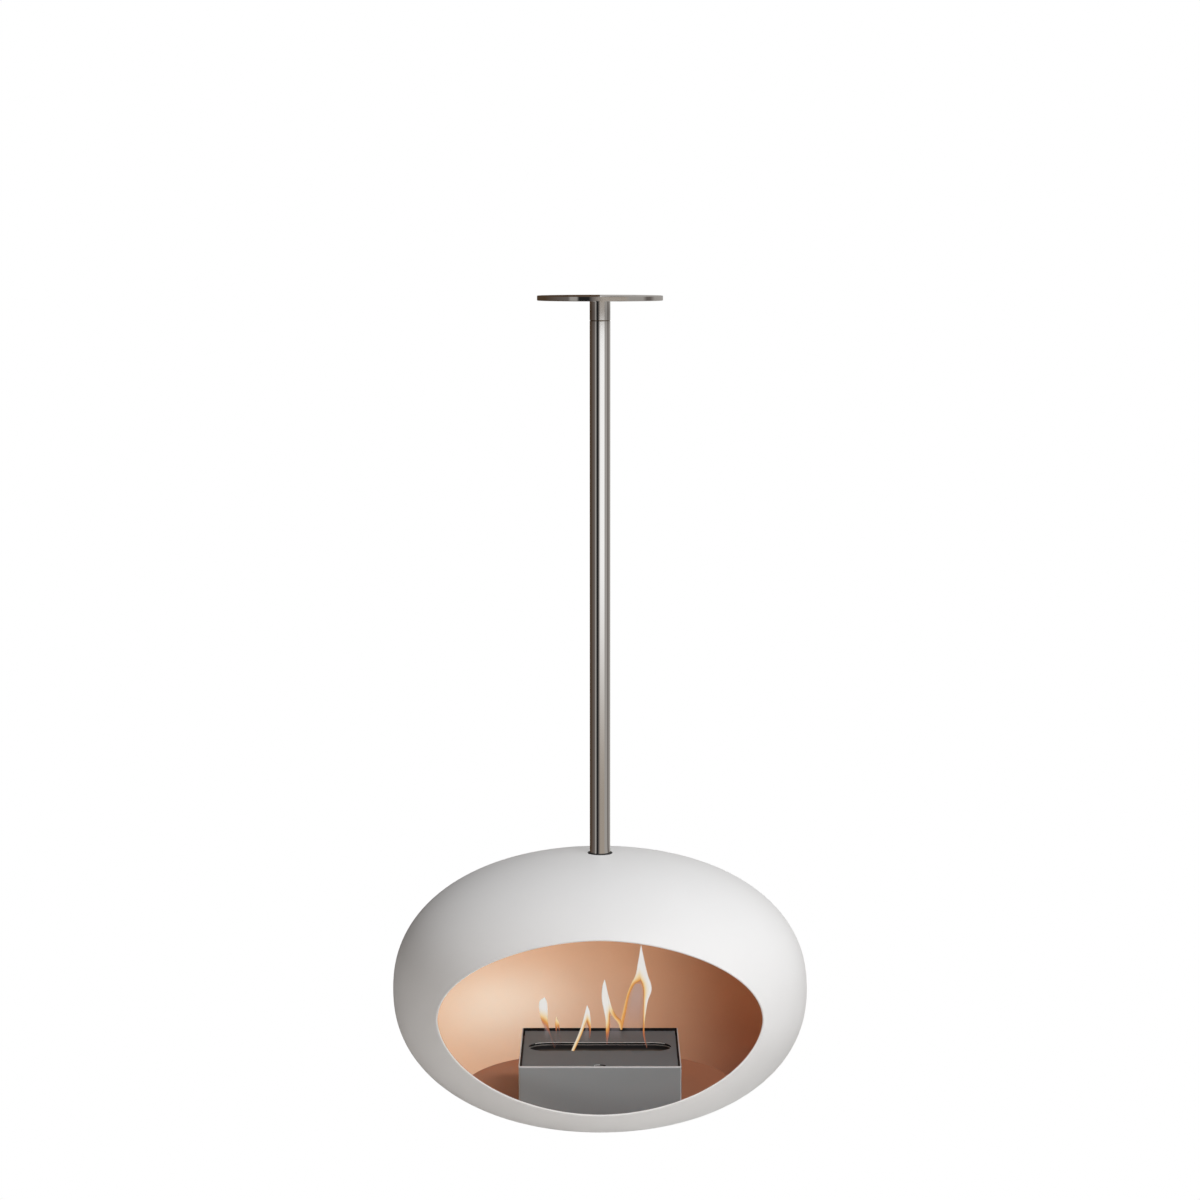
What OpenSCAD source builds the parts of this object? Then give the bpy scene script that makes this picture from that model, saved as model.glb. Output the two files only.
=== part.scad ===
// Hanging fireplace: a white oval fire bowl on a steel pole that swivels under a ceiling plate.
// All sizes are in millimetres. The origin is the middle of the ceiling plate's top face,
// +Z points up, and the mouth of the bowl faces -Y.

/* [Ceiling plate] */
// Diameter of the ceiling plate
plate_d = 205; // [180:1:240]
// Thickness of the ceiling plate
plate_t = 8; // [7:0.5:12]
// Pitch circle of the four ceiling screws
screw_pcd = 160; // [130:1:165]
// Diameter of a ceiling screw hole
screw_hole_d = 9; // [7:0.5:10]
// Length of the neck under the plate
neck_l = 32; // [30:1:60]

/* [Pole] */
// Outside diameter of the pole and the neck
pole_d = 33.7; // [33.7:0.1:42.4]
// Wall thickness of the pole
pole_wall = 2.6; // [2:0.1:2.6]
// Length of the pole, from the swivel to the bowl
pole_l = 877; // [400:1:1800]

/* [Bowl] */
// Width of the bowl
bowl_w = 687; // [675:1:800]
// Height of the bowl
bowl_h = 450; // [444:1:520]
// Fullness of the bowl's outline: 2 is an ellipse, more is squarer
bowl_n = 2.21; // [2.15:0.01:2.5]
// Thickness of the outer shell
shell_t = 2; // [1.5:0.1:3]
// Thickness of the inner liner
liner_t = 1; // [0.8:0.1:1.5]
// Width of the mouth
mouth_w = 523; // [480:1:530]
// Height of the mouth
mouth_h = 286; // [270:1:300]
// Fullness of the mouth's outline
mouth_n = 1.88; // [1.8:0.01:2.2]
// How far the mouth's centre lies under the bowl's centre
mouth_drop = 4.2; // [0:0.1:8]
// Diameter of the hearth floor
floor_d = 450; // [430:1:460]
// How far the hearth floor lies under the bowl's centre
floor_drop = 168; // [160:0.5:169]

/* [Burner] */
// Width of the burner, left to right
burner_w = 262; // [240:1:266]
// Depth of the burner, front to back
burner_d = 262; // [240:1:266]
// Height of the burner with its feet
burner_h = 81; // [72:1:90]
// How far the burner's centre stands in front of the pole
burner_forward = 65; // [50:1:66]
// Sheet thickness of the burner's casing
casing_t = 2; // [1.5:0.1:2.5]
// How far the cover plate lies under the casing's rim
cover_sunk = 4; // [2:0.5:6]
// Width of the flame slot
slot_w = 235; // [200:1:236]
// Depth of the flame slot, front to back
slot_d = 61; // [40:1:62]
// How far the slot's centre lies behind the burner's centre
slot_back = 18; // [0:1:20]
// Diameter of the finger hole in the cover plate
finger_d = 20; // [16:1:24]

/* [Hidden] */

$fn = 96;
hole_fn = 48;
small_fn = 32;

// How far a cutting shape runs past what it cuts
eps = 0.01;
past = 10;

// Colours
steel_c = [0.72, 0.70, 0.67];
dark_steel_c = [0.45, 0.44, 0.43];
bronze_c = [0.72, 0.53, 0.30];
white_c = [0.93, 0.92, 0.90];
copper_c = [0.80, 0.56, 0.42];
floor_c = [0.62, 0.38, 0.27];
grey_c = [0.46, 0.45, 0.44];
cover_c = [0.38, 0.37, 0.36];
black_c = [0.10, 0.10, 0.10];
fibre_c = [0.30, 0.29, 0.28];

// Ceiling plate and neck
plate_edge = 0.8;
tube_edge = 0.4;
screw_angles = [45:90:315];
countersink_d = 18;
neck_z = -plate_t - neck_l;

// Swivel: a shaft fixed in the neck, two bushes and a ball thrust bearing inside the pole
shaft_d = 12;
shaft_grip = 28;
shaft_chamfer = 1;
shaft_room = 1;
shaft_past_nut = 4;
bush_od = 16;
bush_l = 15;
running_gap = 0.03;
seam_washer_d = 32.6;
seam_washer_t = 1;
seam_gap = 0.2;
pole_top = neck_z - seam_washer_t - seam_gap;
pole_id = pole_d - 2 * pole_wall;
housing_l = 60;
housing_z = pole_top - housing_l;

// Thrust bearing, 12 x 26 x 9
race_od = 26;
race_t = 2.6;
race_gap = 3.8;
upper_race_id = 14;
ball_d = 4.76;
ball_count = 10;
ball_pcd = 19;
ball_gap = 0.02;
groove_r = 2.5;
cage_id = 12.8;
cage_od = 25.2;
cage_t = 1.6;
pocket_d = 4.9;
ball_z = housing_z - race_t - race_gap / 2;
lower_race_z = housing_z - 2 * race_t - race_gap;

// Nuts: width across flats and height
m12_af = 18;
m12_h = 10;
m12_thin_h = 7;
m20_af = 30;
m20_h = 16;
m20_thin_h = 10;
nut_face = 0.95;
nut_over = 1;
shaft_end = lower_race_z - m12_h - m12_thin_h - shaft_past_nut;

// Grub screws
grub_d = 5;
grub_l = 6;
grub_key = 2.5;
grub_key_depth = 2.5;
housing_screw_drop = 28;
housing_screw_z = pole_top - housing_screw_drop;
housing_screw_angles = [45, 135];
neck_screw_drop = 16;
neck_screw_angle = 90;
neck_screw_z = -plate_t - neck_screw_drop;

// Foot of the pole and the stack that clamps the bowl
stud_d = 20;
stud_l = 48;
stud_chamfer = 2;
stud_hole_d = stud_d + 0.5;
plug_l = 45;
plug_chamfer = 1;
gasket_d = 41;
gasket_t = 1;
crown_flat = 0.25;
crown_hole_d = 21;
backing_d = 120;
backing_t = 6;
hanger_washer_d = 44;
hanger_washer_t = 4;
pole_foot = pole_top - pole_l;
crown_z = pole_foot - gasket_t;
bowl_a = bowl_w / 2;
bowl_c = bowl_h / 2;
bowl_z = crown_z - bowl_c + crown_flat;
inner_a = bowl_a - shell_t - liner_t;
inner_c = bowl_c - shell_t - liner_t;
backing_z = bowl_z + inner_c - backing_t;
washer_z = backing_z - hanger_washer_t;

// Outlines of the bowl and the mouth
bowl_steps = 24;
mouth_steps = 24;
lip_step = 2;
bowl_fn = 180;

// Hearth floor: a flat disc with a turned-down skirt that stands in the bowl
floor_t = 2;
skirt_l = 25;
floor_z = bowl_z - floor_drop;

// Burner
burner_y = -burner_forward;
foot_d = 24;
foot_h = 2;
foot_inset_x = 31;
foot_inset_y = 36;
corner_r = 3;
fold_r = 3;
hem_t = 4;
hem_h = 14;
casing_z = floor_z + foot_h;
rim_z = floor_z + burner_h;
cover_t = 2;
cover_r = 2;
side_gap = 3;
front_gap = 1;
cover_z = rim_z - cover_sunk - cover_t;
cover_w = burner_w - 2 * casing_t - 2 * side_gap;
cover_front = burner_y - burner_d / 2 + hem_t + front_gap;
cover_back = burner_y + burner_d / 2 - casing_t - side_gap;
slot_y = burner_y + slot_back;
finger_inset = 16;
ledge_w = 12;
ledge_t = 1.5;
ledge_end_gap = 30;
ledge_l = burner_d - 2 * ledge_end_gap;

// Fuel tank: a long trough with round ends and a rolled mouth, standing on two hat sections
tank_over_slot = 2.5;
tank_w = slot_w + 2 * tank_over_slot;
tank_d = slot_d + 2 * tank_over_slot;
tank_t = 1.5;
bead_r = 1.5;
tank_under_cover = 2.5;
rest_h = 10;
tank_z = casing_z + casing_t + rest_h;
tank_rim_z = cover_z - tank_under_cover;
rest_w = 20;
rest_flange = 8;
rest_t = 1.5;
rest_x = 70;
rest_l = 90;
wick_h = 30;
wick_gap = 0.5;

// ---------- shared shapes ----------

function signed_pow(v, p) = sign(v) * pow(abs(v), p);

// Point at angle t on an oval |x/a|^n + |y/c|^n = 1
function oval_point(a, c, n, t) = [a * signed_pow(cos(t), 2 / n), c * signed_pow(sin(t), 2 / n)];

// Right half of the oval, from the bottom pole to the top pole
module oval_half(a, c, n) {
  polygon([for (i = [-bowl_steps:bowl_steps]) oval_point(a, c, n, 90 * i / bowl_steps)]);
}

module oval(a, c, n, steps) {
  polygon([for (i = [0:4 * steps - 1]) oval_point(a, c, n, 90 * i / steps)]);
}

module rounded_rect(w, d, r) {
  square([w - 2 * r, d], center = true);
  square([w, d - 2 * r], center = true);
  for (sx = [-1, 1], sy = [-1, 1]) {
    translate([sx * (w / 2 - r), sy * (d / 2 - r)]) circle(r = r, $fn = small_fn);
  }
}

// A slot with round ends, w long over all and d wide
module stadium(w, d) {
  square([w - d, d], center = true);
  for (sx = [-1, 1]) {
    translate([sx * (w - d) / 2, 0]) circle(d = d);
  }
}

module ring(outer_d, inner_d, h) {
  difference() {
    cylinder(d = outer_d, h = h);
    translate([0, 0, -eps]) cylinder(d = inner_d, h = h + 2 * eps);
  }
}

// A cut length of tube whose outer edges are broken by a small bevel
module tube(outer_d, inner_d, h, bevel) {
  rotate_extrude() polygon([
    [inner_d / 2, 0], [outer_d / 2 - bevel, 0], [outer_d / 2, bevel],
    [outer_d / 2, h - bevel], [outer_d / 2 - bevel, h], [inner_d / 2, h]
  ]);
}

// A six-sided nut whose corners are turned back to a 30 degree bevel at both faces
module hex_nut(af, bore_d, h) {
  face_r = nut_face * af / 2;
  waist_r = af / cos(30) / 2 + nut_over;
  bevel = (waist_r - face_r) * tan(30);
  difference() {
    intersection() {
      cylinder(r = af / cos(30) / 2, h = h, $fn = 6);
      rotate_extrude() polygon([
        [0, 0], [face_r, 0], [waist_r, bevel], [waist_r, h - bevel], [face_r, h], [0, h]
      ]);
    }
    translate([0, 0, -eps]) cylinder(d = bore_d, h = h + 2 * eps);
  }
}

// A grub screw that points inwards from radius r_outer, with its key socket facing out
module grub_screw(r_outer) {
  rotate([0, 90, 0]) translate([0, 0, r_outer - grub_l]) {
    difference() {
      cylinder(d = grub_d, h = grub_l, $fn = small_fn);
      translate([0, 0, grub_l - grub_key_depth]) {
        cylinder(d = grub_key / cos(30), h = grub_key_depth + eps, $fn = 6);
      }
    }
  }
}

module grub_hole(r_outer) {
  rotate([0, 90, 0]) translate([0, 0, r_outer - grub_l]) {
    cylinder(d = grub_d, h = grub_l + past, $fn = small_fn);
  }
}

// ---------- ceiling mount ----------

module ceiling_plate() {
  color(steel_c) difference() {
    rotate_extrude(convexity = 4) {
      polygon([
        [0, 0], [plate_d / 2 - plate_edge, 0], [plate_d / 2, -plate_edge],
        [plate_d / 2, plate_edge - plate_t], [plate_d / 2 - plate_edge, -plate_t], [0, -plate_t]
      ]);
    }
    for (a = screw_angles) {
      rotate(a) translate([screw_pcd / 2, 0, -plate_t - eps]) {
        cylinder(d = screw_hole_d, h = plate_t + 2 * eps, $fn = hole_fn);
        cylinder(
          d1 = countersink_d, d2 = screw_hole_d, h = (countersink_d - screw_hole_d) / 2, $fn = hole_fn
        );
      }
    }
  }
}

// The neck is welded under the plate and is tapped for the shaft from below
module plate_neck() {
  color(steel_c) difference() {
    rotate_extrude() polygon([
      [0, neck_z], [pole_d / 2 - tube_edge, neck_z], [pole_d / 2, neck_z + tube_edge],
      [pole_d / 2, -plate_t], [0, -plate_t]
    ]);
    translate([0, 0, neck_z - eps]) cylinder(d = shaft_d, h = shaft_grip + eps);
    translate([0, 0, neck_screw_z]) rotate(neck_screw_angle) grub_hole(pole_d / 2);
  }
}

module neck_grub_screw() {
  color(dark_steel_c) translate([0, 0, neck_screw_z]) rotate(neck_screw_angle) {
    grub_screw(pole_d / 2);
  }
}

module pivot_shaft() {
  top = neck_z + shaft_grip;
  color(steel_c) rotate_extrude() {
    polygon([
      [0, top], [shaft_d / 2 - shaft_chamfer, top], [shaft_d / 2, top - shaft_chamfer],
      [shaft_d / 2, shaft_end + shaft_chamfer], [shaft_d / 2 - shaft_chamfer, shaft_end], [0, shaft_end]
    ]);
  }
}

module seam_washer() {
  color(bronze_c) translate([0, 0, neck_z - seam_washer_t]) ring(seam_washer_d, shaft_d, seam_washer_t);
}

module pivot_nut() {
  color(dark_steel_c) translate([0, 0, lower_race_z - m12_h]) hex_nut(m12_af, shaft_d, m12_h);
}

module pivot_locknut() {
  color(dark_steel_c) translate([0, 0, lower_race_z - m12_h - m12_thin_h]) {
    hex_nut(m12_af, shaft_d, m12_thin_h);
  }
}

// ---------- thrust bearing ----------

// Groove that a ball runs in, as a solid to cut out of a race; side is 1 above the balls, -1 below
module ball_groove(side) {
  groove_z = side * (ball_d / 2 + ball_gap - groove_r);
  translate([0, 0, ball_z + groove_z]) rotate_extrude() {
    translate([ball_pcd / 2, 0]) circle(r = groove_r, $fn = hole_fn);
  }
}

module bearing_upper_race() {
  color(steel_c) difference() {
    translate([0, 0, housing_z - race_t]) ring(race_od, upper_race_id, race_t);
    ball_groove(1);
  }
}

module bearing_lower_race() {
  color(steel_c) difference() {
    translate([0, 0, lower_race_z]) ring(race_od, shaft_d, race_t);
    ball_groove(-1);
  }
}

module bearing_balls() {
  color(steel_c) for (i = [0:ball_count - 1]) {
    rotate(360 * i / ball_count) translate([ball_pcd / 2, 0, ball_z]) {
      sphere(d = ball_d, $fn = small_fn);
    }
  }
}

module bearing_cage() {
  color(bronze_c) difference() {
    translate([0, 0, ball_z - cage_t / 2]) ring(cage_od, cage_id, cage_t);
    for (i = [0:ball_count - 1]) {
      rotate(360 * i / ball_count) translate([ball_pcd / 2, 0, ball_z - cage_t]) {
        cylinder(d = pocket_d, h = 2 * cage_t, $fn = small_fn);
      }
    }
  }
}

// ---------- pole ----------

module swivel_housing() {
  color(steel_c) difference() {
    translate([0, 0, housing_z]) cylinder(d = pole_id, h = housing_l);
    translate([0, 0, housing_z - eps]) cylinder(d = shaft_d + shaft_room, h = housing_l + 2 * eps);
    translate([0, 0, housing_z - eps]) cylinder(d = bush_od, h = bush_l + eps);
    translate([0, 0, pole_top - bush_l]) cylinder(d = bush_od, h = bush_l + eps);
    for (a = housing_screw_angles) {
      translate([0, 0, housing_screw_z]) rotate(a) grub_hole(pole_d / 2);
    }
  }
}

module bush(z) {
  color(bronze_c) translate([0, 0, z]) ring(bush_od, shaft_d + 2 * running_gap, bush_l);
}

module upper_bush() {
  bush(pole_top - bush_l);
}

module lower_bush() {
  bush(housing_z);
}

module housing_screws() {
  color(dark_steel_c) for (a = housing_screw_angles) {
    translate([0, 0, housing_screw_z]) rotate(a) grub_screw(pole_d / 2);
  }
}

module pole_tube() {
  color(steel_c) difference() {
    translate([0, 0, pole_foot]) tube(pole_d, pole_id, pole_l, tube_edge);
    for (a = housing_screw_angles) {
      translate([0, 0, housing_screw_z]) rotate(a) grub_hole(pole_d / 2);
    }
  }
}

// Turned plug welded in the foot of the pole, with the stud that carries the bowl
module pole_foot_plug() {
  top = pole_foot + plug_l;
  tip = pole_foot - stud_l;
  color(steel_c) rotate_extrude() {
    polygon([
      [0, top], [pole_id / 2 - plug_chamfer, top], [pole_id / 2, top - plug_chamfer],
      [pole_id / 2, pole_foot], [stud_d / 2, pole_foot], [stud_d / 2, tip + stud_chamfer],
      [stud_d / 2 - stud_chamfer, tip], [0, tip]
    ]);
  }
}

// ---------- bowl ----------

module foot_gasket() {
  color(black_c) translate([0, 0, crown_z]) ring(gasket_d, stud_hole_d, gasket_t);
}

// A spun skin of the bowl: outer semi-axes a and c, wall t, with a mouth that is cut straight
// through along Y, its outline drawn in by lip on every side
module bowl_skin(a, c, t, lip) {
  translate([0, 0, bowl_z]) difference() {
    rotate_extrude($fn = bowl_fn, convexity = 6) difference() {
      oval_half(a, c, bowl_n);
      oval_half(a - t, c - t, bowl_n);
      translate([0, bowl_c - crown_flat]) square([a, past]);
      square([crown_hole_d / 2, c + past]);
    }
    translate([0, 0, -mouth_drop]) rotate([90, 0, 0]) linear_extrude(height = a + past) {
      oval(mouth_w / 2 - lip, mouth_h / 2 - lip, mouth_n, mouth_steps);
    }
  }
}

module outer_shell() {
  color(white_c) bowl_skin(bowl_a, bowl_c, shell_t, 0);
}

// The liner reaches a little further into the mouth than the shell, which makes the stepped lip
module inner_liner() {
  color(copper_c) bowl_skin(bowl_a - shell_t, bowl_c - shell_t, liner_t, lip_step);
}

// Stiffening disc that is crowned to fit the liner, with a flat underside for the washer
module backing_disc() {
  color(dark_steel_c) translate([0, 0, bowl_z]) difference() {
    rotate_extrude() intersection() {
      oval_half(inner_a, inner_c, bowl_n);
      translate([0, inner_c - backing_t]) square([backing_d / 2, backing_t]);
    }
    cylinder(d = stud_hole_d, h = bowl_c);
  }
}

module hanger_washer() {
  color(steel_c) translate([0, 0, washer_z]) ring(hanger_washer_d, stud_hole_d, hanger_washer_t);
}

module hanger_nut() {
  color(dark_steel_c) translate([0, 0, washer_z - m20_h]) hex_nut(m20_af, stud_d, m20_h);
}

module hanger_locknut() {
  color(dark_steel_c) translate([0, 0, washer_z - m20_h - m20_thin_h]) {
    hex_nut(m20_af, stud_d, m20_thin_h);
  }
}

module hearth_floor() {
  color(floor_c) translate([0, 0, bowl_z]) rotate_extrude($fn = bowl_fn) intersection() {
    oval_half(inner_a, inner_c, bowl_n);
    union() {
      translate([0, -floor_drop - floor_t]) square([floor_d / 2, floor_t]);
      translate([floor_d / 2 - floor_t, -floor_drop - skirt_l]) square([floor_t, skirt_l]);
    }
  }
}

// ---------- burner ----------

// Side outline of the casing: a rectangle whose front top corner is the bend of the sheet
module casing_side() {
  difference() {
    translate([-burner_d / 2, casing_z]) square([burner_d, rim_z - casing_z]);
    translate([-burner_d / 2 - eps, rim_z - fold_r]) square([fold_r + eps, fold_r + eps]);
  }
  translate([fold_r - burner_d / 2, rim_z - fold_r]) circle(r = fold_r, $fn = hole_fn);
}

// Open box of folded sheet; the top of its front wall is folded over to twice its thickness
module burner_casing() {
  inner_w = burner_w - 2 * casing_t;
  inner_d = burner_d - 2 * casing_t;
  color(grey_c) translate([0, burner_y, 0]) difference() {
    intersection() {
      translate([0, 0, casing_z]) linear_extrude(height = rim_z - casing_z) {
        rounded_rect(burner_w, burner_d, corner_r);
      }
      rotate([90, 0, 90]) translate([0, 0, -burner_w / 2]) linear_extrude(height = burner_w) casing_side();
    }
    difference() {
      translate([-inner_w / 2, -inner_d / 2, casing_z + casing_t]) {
        cube([inner_w, inner_d, rim_z - casing_z]);
      }
      translate([-burner_w / 2, -burner_d / 2, rim_z - hem_h]) cube([burner_w, hem_t, hem_h]);
    }
  }
}

module burner_feet() {
  foot_x = burner_w / 2 - foot_inset_x;
  foot_y = burner_d / 2 - foot_inset_y;
  color(black_c) translate([0, burner_y, floor_z]) for (sx = [-1, 1], sy = [-1, 1]) {
    translate([sx * foot_x, sy * foot_y, 0]) cylinder(d = foot_d, h = foot_h, $fn = hole_fn);
  }
}

// Angles on the side walls that the cover plate lies on
module cover_ledges() {
  wall_x = burner_w / 2 - casing_t;
  color(grey_c) for (side = [-1, 1]) {
    translate([side * wall_x, burner_y + ledge_l / 2, cover_z]) rotate([90, 0, 0]) {
      linear_extrude(height = ledge_l) polygon([
        [0, 0], [-side * ledge_w, 0], [-side * ledge_w, -ledge_t],
        [-side * ledge_t, -ledge_t], [-side * ledge_t, -ledge_w], [0, -ledge_w]
      ]);
    }
  }
}

// Two hat sections that hold the tank off the casing's floor
module tank_rests() {
  color(dark_steel_c) for (side = [-1, 1]) {
    translate([side * rest_x, slot_y + rest_l / 2, tank_z - rest_h]) rotate([90, 0, 0]) {
      linear_extrude(height = rest_l) difference() {
        union() {
          translate([-rest_w / 2, 0]) square([rest_w, rest_h]);
          translate([-rest_w / 2 - rest_flange, 0]) square([rest_w + 2 * rest_flange, rest_t]);
        }
        translate([rest_t - rest_w / 2, -eps]) square([rest_w - 2 * rest_t, rest_h - rest_t + eps]);
      }
    }
  }
}

module fuel_tank() {
  straight = tank_w - tank_d;
  color(steel_c) translate([0, slot_y, 0]) difference() {
    union() {
      translate([0, 0, tank_z]) linear_extrude(height = tank_rim_z - tank_z) stadium(tank_w, tank_d);
      translate([0, 0, tank_rim_z - bead_r]) tank_bead(straight);
    }
    translate([0, 0, tank_z + tank_t]) linear_extrude(height = tank_rim_z - tank_z) {
      stadium(tank_w - 2 * tank_t, tank_d - 2 * tank_t);
    }
  }
}

// The rolled edge of the tank's mouth: two straight runs and two half turns
module tank_bead(straight) {
  for (sy = [-1, 1]) {
    translate([-straight / 2, sy * tank_d / 2, 0]) rotate([0, 90, 0]) {
      cylinder(r = bead_r, h = straight, $fn = small_fn);
    }
  }
  for (side = [-1, 1]) {
    translate([side * straight / 2, 0, 0]) rotate(-90 * side) rotate_extrude(angle = 180) {
      translate([tank_d / 2, 0]) circle(r = bead_r, $fn = small_fn);
    }
  }
}

module wick_block() {
  color(fibre_c) translate([0, slot_y, tank_z + tank_t]) linear_extrude(height = wick_h) {
    stadium(tank_w - 2 * tank_t - 2 * wick_gap, tank_d - 2 * tank_t - 2 * wick_gap);
  }
}

module cover_plate() {
  color(cover_c) translate([0, 0, cover_z]) linear_extrude(height = cover_t, convexity = 4) difference() {
    translate([0, (cover_front + cover_back) / 2]) {
      rounded_rect(cover_w, cover_back - cover_front, cover_r);
    }
    translate([0, slot_y]) stadium(slot_w, slot_d);
    translate([0, cover_front + finger_inset]) circle(d = finger_d, $fn = hole_fn);
  }
}

ceiling_plate();
plate_neck();
neck_grub_screw();
pivot_shaft();
seam_washer();
bearing_lower_race();
pivot_nut();
pivot_locknut();
bearing_balls();
bearing_cage();
bearing_upper_race();
swivel_housing();
upper_bush();
lower_bush();
housing_screws();
pole_tube();
pole_foot_plug();
foot_gasket();
outer_shell();
inner_liner();
backing_disc();
hanger_washer();
hanger_nut();
hanger_locknut();
hearth_floor();
burner_casing();
burner_feet();
cover_ledges();
tank_rests();
fuel_tank();
wick_block();
cover_plate();
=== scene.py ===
"""Looks of the hanging fireplace: smooth bowl, polished pole, painted burner and its flames.

All lengths are in metres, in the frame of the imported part: the origin is the middle of the
ceiling plate's top face, +Z points up and the mouth of the bowl faces -Y.
"""

import logging
import math
from dataclasses import dataclass, field
from enum import Enum

import bpy
import numpy as np
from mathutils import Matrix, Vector


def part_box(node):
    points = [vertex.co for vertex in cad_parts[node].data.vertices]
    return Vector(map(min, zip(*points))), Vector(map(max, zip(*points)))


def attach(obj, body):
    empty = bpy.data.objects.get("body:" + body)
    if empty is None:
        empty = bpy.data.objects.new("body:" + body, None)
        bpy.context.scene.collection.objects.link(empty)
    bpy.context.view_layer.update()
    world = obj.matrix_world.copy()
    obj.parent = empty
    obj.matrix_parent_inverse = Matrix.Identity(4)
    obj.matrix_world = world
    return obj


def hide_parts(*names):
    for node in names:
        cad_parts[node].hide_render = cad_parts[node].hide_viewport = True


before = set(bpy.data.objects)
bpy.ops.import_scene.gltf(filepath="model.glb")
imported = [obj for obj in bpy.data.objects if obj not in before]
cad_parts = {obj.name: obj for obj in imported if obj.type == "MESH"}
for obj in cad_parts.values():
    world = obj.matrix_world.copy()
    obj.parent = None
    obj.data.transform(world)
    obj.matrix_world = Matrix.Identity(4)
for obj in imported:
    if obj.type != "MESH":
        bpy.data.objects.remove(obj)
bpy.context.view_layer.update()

log = logging.getLogger("fireplace")
Triple = tuple[float, float, float]
Colour = Triple

MM = 0.001
EDGE_BREAK = 0.0004
BAR_COLUMNS = 160


# ---------- shader building ----------


class Wire:
    """One output socket of a node, which Python's operators join to Math nodes."""

    def __init__(self, board: "Board", socket: bpy.types.NodeSocket) -> None:
        """Keeps the node tree's board and the socket."""
        self.board = board
        self.socket = socket

    def other(self, name: str) -> "Wire":
        """Another output of the same node, by name."""
        return Wire(self.board, self.socket.node.outputs[name])

    def __add__(self, b: "Wire | float") -> "Wire":
        """Sum."""
        return self.board.maths("ADD", self, b)

    def __sub__(self, b: "Wire | float") -> "Wire":
        """Difference."""
        return self.board.maths("SUBTRACT", self, b)

    def __rsub__(self, b: "Wire | float") -> "Wire":
        """Difference with the number first."""
        return self.board.maths("SUBTRACT", b, self)

    def __mul__(self, b: "Wire | float") -> "Wire":
        """Product."""
        return self.board.maths("MULTIPLY", self, b)

    def __truediv__(self, b: "Wire | float") -> "Wire":
        """Quotient."""
        return self.board.maths("DIVIDE", self, b)

    def __lt__(self, b: "Wire | float") -> "Wire":
        """1 where this is smaller, otherwise 0."""
        return self.board.maths("LESS_THAN", self, b)

    def __gt__(self, b: "Wire | float") -> "Wire":
        """1 where this is greater, otherwise 0."""
        return self.board.maths("GREATER_THAN", self, b)

    def __or__(self, b: "Wire | float") -> "Wire":
        """The greater of the two, which joins masks."""
        return self.board.maths("MAXIMUM", self, b)

    def __abs__(self) -> "Wire":
        """The value without its sign."""
        return self.board.maths("ABSOLUTE", self)

    __radd__ = __add__
    __rmul__ = __mul__


Value = Wire | float | tuple


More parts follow.
